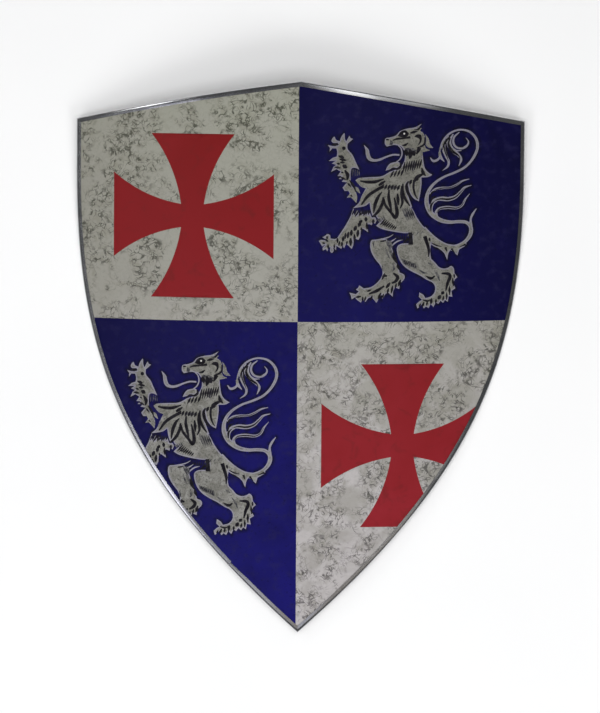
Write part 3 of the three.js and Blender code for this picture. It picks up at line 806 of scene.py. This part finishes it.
bare = Finish("bare_back", Metallic=0.85, Specular_IOR_Level=0.3)
grain = bare.noise(2.2, 4, stretch=(0.06, 1, 1))
stain = bare.noise(48, 4, 1, shift=1.2)
ground = bare.mix(bare.spread(grain, 0.3, 0.7), tone(128, 128, 128), tone(152, 152, 150))
ground = bare.mix(bare.spread(stain, 0.5, 0.8, 0, 0.6), ground, tone(112, 106, 98))
bare.bump(grain, 0.01)
bare_back = bare.done(Base_Color=ground, Roughness=bare.spread(stain, 0.3, 0.7, 0.38, 0.56))

steps = inward_steps(edge_loop)
sheet_edge = edge_loop + steps * NOSE_RADIUS
wide = half_width + LINE_OVERRUN
runs = np.arange(-wide, wide + 1, MESH_STEP)
level_line = np.column_stack([runs, np.full(len(runs), QUARTER_HEIGHT)])
rises = np.arange(-half_height, half_height + MESH_STEP, MESH_STEP)
upright_line = np.column_stack([np.full(len(rises), QUARTER_SIDE), rises])

paints = [white_ground, blue_ground, cross_red, lion_silver, lion_shade, lion_black, lion_eye, bare_back]
WHITE, BLUE, RED, SILVER, SHADE, BLACK, EYE, BACK = range(len(paints))


def evenly(shape):
    """A closed shape with points added so that no leg is long."""
    run = []
    for a, b in zip(shape, np.roll(shape, -1, axis=0)):
        count = math.ceil(np.linalg.norm(b - a) / CONTOUR_STEP + 0.01)
        run.append(a + (b - a) * (np.arange(count) / count)[:, None])
    return np.vstack(run)


def covered(points, shape):
    """Which of the points a closed shape goes round."""
    near = np.all((points >= shape.min(axis=0)) & (points <= shape.max(axis=0)), axis=1)
    result = np.zeros(len(points), bool)
    x, y = points[near][:, 0, None], points[near][:, 1, None]
    a, b = shape, np.roll(shape, -1, axis=0)
    left = (b[:, 0] - a[:, 0]) * (y - a[:, 1]) - (x - a[:, 0]) * (b[:, 1] - a[:, 1])
    rising = (a[:, 1] <= y) & (b[:, 1] > y) & (left > 0)
    falling = (a[:, 1] > y) & (b[:, 1] <= y) & (left < 0)
    result[near] = rising.sum(axis=1) != falling.sum(axis=1)
    return result


def reach_to(points, starts, ends):
    """How far each point is from the nearest of some legs, up to the reach."""
    low = np.minimum(starts.min(axis=0), ends.min(axis=0)) - EDGE_REACH
    high = np.maximum(starts.max(axis=0), ends.max(axis=0)) + EDGE_REACH
    near = np.flatnonzero(np.all((points >= low) & (points <= high), axis=1))
    result = np.full(len(points), float(EDGE_REACH))
    for part in np.array_split(near, 1 + len(near) // MEASURED_AT_ONCE):
        off = points[part][:, None] - starts
        leg = ends - starts
        share = np.clip((off * leg).sum(axis=2) / (leg ** 2).sum(axis=1), 0, 1)
        result[part] = np.linalg.norm(off - share[..., None] * leg, axis=2).min(axis=1, initial=EDGE_REACH)
    return result


layers = [(RED, cross(np.array(centre))) for centre in CROSS_CENTRES]
silver_shapes = []
beside = []
drawing = lion()
for shift in ((0, 0), SECOND_LION):
    for paint, shapes in zip((SILVER, SHADE, BLACK, EYE), drawing):
        laid = [evenly(on_quarter(shape, shift)) for shape in shapes]
        layers += [(paint, shape) for shape in laid]
        if paint == SILVER:
            silver_shapes.append(laid)
for shapes in silver_shapes:
    for shape in shapes:
        way_in = inward_steps(shape)
        way_in /= np.maximum(1, np.linalg.norm(way_in, axis=1, keepdims=True) / MITRE_LIMIT)
        beside += [shape + way_in * off for off in BESIDE_CONTOUR]

drawn = [sheet_edge, level_line, upright_line, *(shape for _, shape in layers)]
lines = []
first = 0
for run in drawn:
    count = len(run)
    lines += [(first + i, first + i + 1) for i in range(count - 1)]
    if run is not level_line and run is not upright_line:
        lines.append((first + count - 1, first))
    first += count


def loose_grid(low, high, step):
    """Loose points all over a rectangle, in rows that aren't quite straight."""
    s, y = np.meshgrid(np.arange(low[0], high[0], step), np.arange(low[1], high[1], step))
    rows = np.column_stack([s.ravel(), y.ravel()])
    return rows + scatter.uniform(-SCATTER, SCATTER, rows.shape) * step


scatter = np.random.default_rng(SEED)
loose = [loose_grid((-half_width, -half_height), (half_width, half_height), MESH_STEP), *beside]
for shapes in silver_shapes:
    extent = np.vstack(shapes)
    low = extent.min(axis=0) - EDGE_REACH
    high = extent.max(axis=0) + EDGE_REACH
    loose.append(loose_grid(low, high, LION_MESH_STEP))
loose = np.vstack(loose)
loose = loose[np.unique((loose / LOOSE_GAP).round(), axis=0, return_index=True)[1]]
flat_points = [Vector(point) for point in np.vstack([*drawn, loose]).tolist()]
made = delaunay_2d_cdt(flat_points, lines, [], WHOLE_HULL, SAME_POINT)
spots, triangles = np.array(made[0]), np.array(made[2])
triangles = triangles[covered(spots[triangles].mean(axis=1), sheet_edge)]
middles = spots[triangles].mean(axis=1)
painted = np.where((middles[:, 0] < QUARTER_SIDE) == (middles[:, 1] > QUARTER_HEIGHT), WHITE, BLUE)
for paint, shape in layers:
    painted[covered(middles, shape)] = paint

edge_distance = np.full(len(spots), -float(EDGE_REACH))
for shapes in silver_shapes:
    inside = np.any([covered(spots, shape) for shape in shapes], axis=0)
    reach = np.full(len(spots), float(EDGE_REACH))
    for shape in shapes:
        ends = np.roll(shape, -1, axis=0)
        others = [covered((shape + ends) / 2, other) for other in shapes if other is not shape]
        bare_legs = ~np.any(others, axis=0)
        if bare_legs.any():
            reach = np.minimum(reach, reach_to(spots, shape[bare_legs], ends[bare_legs]))
    near = reach < EDGE_REACH
    edge_distance[near] = np.where(inside, reach, -reach)[near]
    edge_distance[inside & ~near] = EDGE_REACH

bm = bmesh.new()
edge_layer = bm.verts.layers.float.new("lion_edge")
corner_points = [bm.verts.new((s, y, SHEET_THICKNESS / 2)) for s, y in spots]
for vertex, distance in zip(corner_points, edge_distance):
    vertex[edge_layer] = distance
for triangle, paint in zip(triangles, painted):
    bm.faces.new([corner_points[i] for i in triangle]).material_index = int(paint)
bmesh.ops.delete(bm, geom=[v for v in bm.verts if not v.link_faces], context="VERTS")
baking_map = bm.loops.layers.uv.new("OFBake")
rim_edges = [edge for edge in bm.edges if edge.is_boundary]
walls = bmesh.ops.extrude_edge_only(bm, edges=rim_edges)["geom"]
lower_edge = [part for part in walls if isinstance(part, bmesh.types.BMVert)]
bmesh.ops.translate(bm, vec=(0, 0, -SHEET_THICKNESS), verts=lower_edge)
back_edges = [edge for edge in bm.edges if edge.is_boundary]
back = bmesh.ops.contextual_create(bm, geom=back_edges, mat_nr=BACK)["faces"]
bmesh.ops.recalc_face_normals(bm, faces=bm.faces)
back_part = [*back, *back[0].edges, *back[0].verts]
for s in np.arange(MESH_STEP - half_width, half_width + MESH_STEP, MESH_STEP):
    cut = bmesh.ops.bisect_plane(bm, geom=back_part, plane_co=(s, 0, 0), plane_no=(1, 0, 0))
    back_part = cut["geom"]
bmesh.ops.triangulate(bm, faces=[face for face in bm.faces if len(face.verts) > 3])

# The map for baking: the front on the left, the back at the lower right, the edge above it
FRONT_SHARE = 0.99 / OVERALL_HEIGHT
BACK_SHARE = 0.41 / OVERALL_HEIGHT
EDGE_SHARE = 0.1 / OVERALL_HEIGHT
FRONT_MIDDLE = (0.4245, 0.5)
BACK_MIDDLE = (0.82, 0.215)
EDGE_MIDDLE = (0.93, 0.93)
EDGE_FLARE = 0.1  # how much wider the edge's ring gets for each millimetre up
for face in bm.faces:
    face.smooth = True
    rise = face.normal.z
    if rise < FLAT_ENOUGH:
        face.material_index = BACK
    for loop in face.loops:
        s, y, h = loop.vert.co
        if rise > FLAT_ENOUGH:
            middle, share = FRONT_MIDDLE, FRONT_SHARE
        elif rise > -FLAT_ENOUGH:
            middle, share = EDGE_MIDDLE, EDGE_SHARE * (1 + EDGE_FLARE * h)
        else:
            middle, share = BACK_MIDDLE, -BACK_SHARE
        loop[baking_map].uv = (middle[0] + s * share, middle[1] + y * share)
for edge in bm.edges:
    if edge.calc_face_angle(0) > SHARP_ANGLE:
        edge.smooth = False
for vertex in bm.verts:
    vertex.co = place(*vertex.co)
sheet_mesh = bpy.data.meshes.new("painted_sheet")
bm.to_mesh(sheet_mesh)
bm.free()
for paint in paints:
    sheet_mesh.materials.append(paint)
sheet = bpy.data.objects.new("painted_sheet", sheet_mesh)
bpy.context.scene.collection.objects.link(sheet)
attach(sheet, "root")
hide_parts("plate")

# The edge strip
# One strip of bright steel, folded over the sheet's edge and pressed down on both its sides,
# mitred at the peak, both corners and the tip. Its ends meet on the lower left side, where the
# front lip of the lower one was trimmed.

STRIP_WIDTH = 5.5
STRIP_WALL = 0.8
LIP_HEIGHT = 1.45  # of the pressed lip's inner edge over the sheet's middle
LIP_CROWN = 0.17  # how much higher the lip is halfway
LIP_CROWN_PLACE = 3.35  # in from the strip's outer edge
NOSE_POINTS = 15
SEAM_FROM_TIP = 104
SEAM_GAP = 0.3
SEAM_TRIM = 1.1
SEAM_TRIM_LENGTH = 26  # over which the lip grows to its full width again
INSET = 0.02  # keeps the round nose inside the CAD's faceted one
SAME_PLACE = 1e-6  # metres
STRIP_SHARP_ANGLE = math.radians(20)

strip = Finish("bright_strip", Metallic=1.0)
smudges = strip.noise(22, 3, 0.6, shift=0.9)
ground = strip.mix(strip.spread(smudges, 0.3, 0.7), tone(196, 197, 200), tone(216, 216, 217))
dirt = strip.spread(strip.noise(5, 3, shift=2.2), 0.58, 0.8, 0, 0.4)
ground = strip.mix(dirt, ground, tone(120, 116, 110))
bright_strip = strip.done(Base_Color=ground, Roughness=strip.spread(smudges, 0.3, 0.7, 0.13, 0.18))


def strip_section():
    """The strip's section: how far in from the outer edge, and how far over the sheet's middle."""
    inner_nose = NOSE_RADIUS - STRIP_WALL
    round_angles = np.linspace(math.pi / 2, 1.5 * math.pi, NOSE_POINTS)
    nose = [(NOSE_RADIUS + NOSE_RADIUS * math.cos(a), NOSE_RADIUS * math.sin(a)) for a in round_angles]
    slot = [(NOSE_RADIUS + inner_nose * math.cos(a), inner_nose * math.sin(a)) for a in round_angles[::-2]]
    lip_under = LIP_HEIGHT - STRIP_WALL
    crown = (LIP_CROWN_PLACE, LIP_HEIGHT + LIP_CROWN)
    upper = [(STRIP_WIDTH, lip_under), (STRIP_WIDTH, LIP_HEIGHT), crown]
    return np.array([*upper, *nose, *[(n, -h) for n, h in upper[::-1]], *slot])


section = strip_section()
closed_loop = np.vstack([edge_loop, edge_loop[:1]])
legs = np.linalg.norm(np.diff(closed_loop, axis=0), axis=1)
along = np.append(0, np.cumsum(legs))
seam_at = along[-1] - SEAM_FROM_TIP
after_seam = np.flatnonzero(along[:-1] > seam_at + SEAM_GAP)
before_seam = np.flatnonzero(along[:-1] < seam_at - SEAM_GAP)
seam_places = [seam_at + SEAM_GAP / 2, seam_at - SEAM_GAP / 2]
seam_ends = np.column_stack([np.interp(seam_places, along, closed_loop[:, k]) for k in (0, 1)])
stations = np.vstack([seam_ends[:1], edge_loop[after_seam], edge_loop[before_seam], seam_ends[1:]])
strip_steps = inward_steps(stations, closed=False)
from_seam = np.append(0, np.cumsum(np.linalg.norm(np.diff(stations, axis=0), axis=1)))

bm = bmesh.new()
across, around = len(stations) - 1, len(section)
bmesh.ops.create_grid(bm, x_segments=across, y_segments=around, size=1)
lip_reach = STRIP_WIDTH - NOSE_RADIUS
for vertex in bm.verts:
    station = round((vertex.co.x + 1) / 2 * across)
    turn = round((vertex.co.y + 1) / 2 * around)
    n, h = section[turn % around]
    trim = SEAM_TRIM * max(0, 1 - from_seam[station] / SEAM_TRIM_LENGTH) if h > 0 else 0
    if n > NOSE_RADIUS:
        n = NOSE_RADIUS + (n - NOSE_RADIUS) * (lip_reach - trim) / lip_reach
    s, y = stations[station] + strip_steps[station] * (n + INSET)
    vertex.co = place(s, y, h)
    vertex.co.z = max(vertex.co.z, 0)
bmesh.ops.remove_doubles(bm, verts=bm.verts, dist=SAME_PLACE)
bmesh.ops.holes_fill(bm, edges=bm.edges, sides=0)
bmesh.ops.recalc_face_normals(bm, faces=bm.faces)
for face in bm.faces:
    face.smooth = True
for edge in bm.edges:
    if edge.calc_face_angle(0) > STRIP_SHARP_ANGLE:
        edge.smooth = False
strip_mesh = bpy.data.meshes.new("edge_strip")
bm.to_mesh(strip_mesh)
bm.free()
strip_mesh.materials.append(bright_strip)
edge_strip = bpy.data.objects.new("edge_strip", strip_mesh)
bpy.context.scene.collection.objects.link(edge_strip)
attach(edge_strip, "root")
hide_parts("rim")

# Floor, light and camera
# A pale floor, soft lights over the shield's tip and top and far overhead, and a camera far above
# that looks down on the face. The strip mirrors none of those lights, but only the glows that
# hang where its bright stretches show them.

FLOOR_HALF = 4.0
FLOOR_DROP = 0.0002  # keeps the floor just clear of the two rest flats
paper = Finish("pale_floor", Roughness=0.8, Specular_IOR_Level=0.1)
clouding = paper.spread(paper.noise(300, 2), 0.3, 0.7)
paper_tone = paper.mix(clouding, tone(250, 250, 250), tone(253, 253, 253))
pale_floor = paper.done(Base_Color=paper_tone)
bm = bmesh.new()
bmesh.ops.create_grid(bm, x_segments=1, y_segments=1, size=FLOOR_HALF)
floor_mesh = bpy.data.meshes.new("floor")
bm.to_mesh(floor_mesh)
bm.free()
floor_mesh.materials.append(pale_floor)
floor = bpy.data.objects.new("floor", floor_mesh)
bpy.context.scene.collection.objects.link(floor)
floor.location.z = -FLOOR_DROP


def soft_light(name, position, width, height, power, target=(0, 0, 0)):
    """A rectangular light at a place in metres, turned to its target."""
    lamp = bpy.data.lights.new(name, "AREA")
    lamp.shape = "RECTANGLE"
    lamp.size, lamp.size_y = width, height
    lamp.energy = power
    light = bpy.data.objects.new(name, lamp)
    bpy.context.scene.collection.objects.link(light)
    light.location = position
    light.rotation_euler = (Vector(target) - Vector(position)).to_track_quat("-Z", "Y").to_euler()
    return light


FLOODS = (  # name, place, side, power
    ("left_tip", (-1.5, -2.1, 2.5), 1.4, 27),
    ("right_tip", (1.5, -2.1, 2.5), 1.4, 29),
    ("left_top", (-1.5, 2.2, 2.3), 1.4, 6.5),
    ("right_top", (1.5, 2.2, 2.3), 1.4, 4.5),
    ("overhead", (0, 0, 7), 4, 260),
)
for name, position, size, power in FLOODS:
    soft_light(name, position, size, size, power).visible_glossy = False

GLOW_HEIGHT = 2
MIRRORED = (  # name, place across and up the shield, width, length, brightness, colour
    ("top_left_glow", (-1.48, 0.47), 0.48, 0.88, 3.4, (1, 1, 1)),
    ("peak_glow", (0.42, 0), 0.34, 0.6, 1.6, (1, 1, 1)),
    ("beside_peak_glow", (0.65, 0), 1.1, 0.6, 0.45, (1, 1, 1)),
    ("left_side_glow", (-1.1, -0.49), 0.5, 0.28, 2.3, (0.9, 0.9, 1)),
    ("left_high_glow", (-1.7, -0.42), 0.7, 0.25, 0.2, (0.9, 0.9, 1)),
    ("left_tip_glow", (-0.43, -0.53), 0.85, 0.26, 0.6, (0.9, 0.9, 1)),
    ("right_tip_glow", (0.5, -0.53), 1.0, 0.26, 0.3, (1, 0.88, 0.78)),
)
for name, (x, y), width, length, brightness, colour in MIRRORED:
    power = brightness * math.pi * width * length
    glow = soft_light(name, (x, y, GLOW_HEIGHT), width, length, power, (x, y, 0))
    glow.data.color = colour

LOW_GLOW_HEIGHT = 1
LOW_GLOW_WIDTH = 6
LOW_GLOW_LENGTH = 1.6
LOW_GLOWS = (  # name, place across and up the shield, brightness
    ("right_glow", (3, 0), 0.45),
    ("left_glow", (-3, 0), 0.4),
    ("top_glow", (0, 3), 0.5),
    ("tip_glow", (0, -3), 0.35),
)
for name, (x, y), brightness in LOW_GLOWS:
    power = brightness * math.pi * LOW_GLOW_WIDTH * LOW_GLOW_LENGTH
    hung_at = (x, y, LOW_GLOW_HEIGHT)
    target = (0, 0, LOW_GLOW_HEIGHT)
    glow = soft_light(name, hung_at, LOW_GLOW_WIDTH, LOW_GLOW_LENGTH, power, target)
    glow.visible_diffuse = False

AMBIENT = 0.09
world = bpy.data.worlds.new("studio")
bpy.context.scene.world = world
world.use_nodes = True
background = world.node_tree.nodes["Background"]
background.inputs["Color"].default_value = tone(235, 237, 240)
background.inputs["Strength"].default_value = AMBIENT

IMAGE_HEIGHT = 713  # pixels
FOCAL_PIXELS = 5603.7
FAR_ENOUGH = 50
CAMERA_PLACE = (0.7, 518.9, 5950.6)  # from the middle of the bow's crown, along the shield's own axes
CAMERA_PITCH = -0.0867
CAMERA_ROLL = 0.0068
lens = bpy.data.cameras.new("camera")
lens.lens = FOCAL_PIXELS / IMAGE_HEIGHT * lens.sensor_width
lens.clip_end = FAR_ENOUGH
camera = bpy.data.objects.new("camera", lens)
bpy.context.scene.collection.objects.link(camera)
look = Matrix.Rotation(CAMERA_PITCH, 4, "X") @ Matrix.Rotation(CAMERA_ROLL, 4, "Z")
camera.matrix_world = lying @ Matrix.Translation(Vector(CAMERA_PLACE) * MM) @ look
bpy.context.scene.camera = camera
bpy.context.scene.view_settings.view_transform = "Standard"
